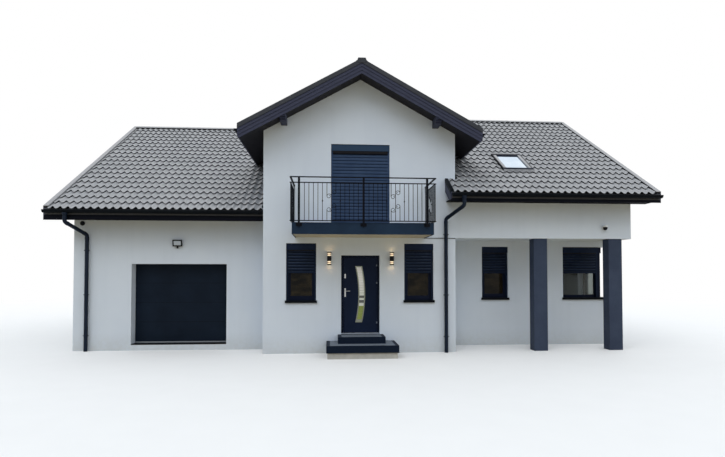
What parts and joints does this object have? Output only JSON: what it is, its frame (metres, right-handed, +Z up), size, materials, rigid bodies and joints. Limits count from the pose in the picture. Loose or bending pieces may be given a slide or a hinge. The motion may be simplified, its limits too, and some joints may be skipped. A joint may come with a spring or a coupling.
{
  "type": "detached house",
  "caption": "Detached white house with a gabled centre front and balcony, garage wing, porch wing on columns and dark tiled roofs.",
  "frame": {"origin": "on the underside of the foundation, below the main roof's ridge and the middle of the gabled centre front, at the height of the lowest ground", "axes": "+X along the front to the right seen from the street, +Y to the back, +Z up"},
  "size_m": [16.38, 13.23, 7.931],
  "materials": {
    "plaster": "fine white stucco",
    "concrete": "plain concrete",
    "granite": "dark granite with lighter treads",
    "roof_tiles": "graphite grey roof tiles, satin",
    "dark_timber": "dark brown stain",
    "sheet_metal": "anthracite, satin",
    "window_frame": "anthracite, satin",
    "shutter": "anthracite, satin",
    "railing_steel": "dark grey powder coat",
    "column_paint": "smooth dark blue-grey paint",
    "door_paint": "anthracite, matt",
    "stainless": "brushed stainless steel",
    "lamp_black": "black, satin",
    "glazing": "clear double glazing"
  },
  "bodies": {
    "house": {"foundation_raft": "concrete", "ground_floor": "concrete", "upper_floor": "plaster", "garage_floor": "concrete", "front_wall_left": "plaster", "front_wall_right": "plaster", "door_lintel": "plaster", "front_gable_wall": "plaster", "main_left_wall": "plaster", "centre_right_wall": "plaster", "porch_wall": "plaster", "porch_beam": "plaster", "porch_columns": "column_paint", "right_gable_wall": "plaster", "rear_wall": "plaster", "garage_front_wall": "plaster", "garage_left_wall": "plaster", "garage_right_wall": "plaster", "garage_rear_wall": "plaster", "main_roof_front": "roof_tiles", "main_roof_rear": "roof_tiles", "garage_roof_front": "roof_tiles", "garage_roof_rear": "roof_tiles", "cross_roof_left": "roof_tiles", "cross_roof_right": "roof_tiles", "soffits": "dark_timber", "gable_bargeboards": "dark_timber", "verge_boards": "dark_timber", "verge_flashings": "sheet_metal", "ridge_caps": "roof_tiles", "gable_purlins": "dark_timber", "gutters": "sheet_metal", "downpipes": "sheet_metal", "skylight_frame": "window_frame", "skylight_glass": "glazing", "window_frames": "window_frame", "window_glass": "glazing", "window_sills": "sheet_metal", "roller_shutters": "shutter", "balcony_slab": "concrete", "balcony_trim": "sheet_metal", "railing_front": "railing_steel", "railing_left": "railing_steel", "railing_right": "railing_steel", "entrance_steps": "granite", "door_frame": "window_frame", "garage_door": "door_paint", "garage_threshold": "concrete", "wall_lamps": "lamp_black", "wall_fittings": "lamp_black"},
    "door": {"door_leaf": "door_paint", "door_inlay": "stainless", "door_glass": "glazing", "door_handle": "stainless", "door_hinges": "stainless"}
  },
  "joints": [
    {"name": "entrance_door_hinge", "type": "hinge", "parent": "house", "child": "door", "pos_m": [0.457, -4.671, 0.52], "axis": [0, 0, 1], "range_deg": [0, 90]}
  ]
}
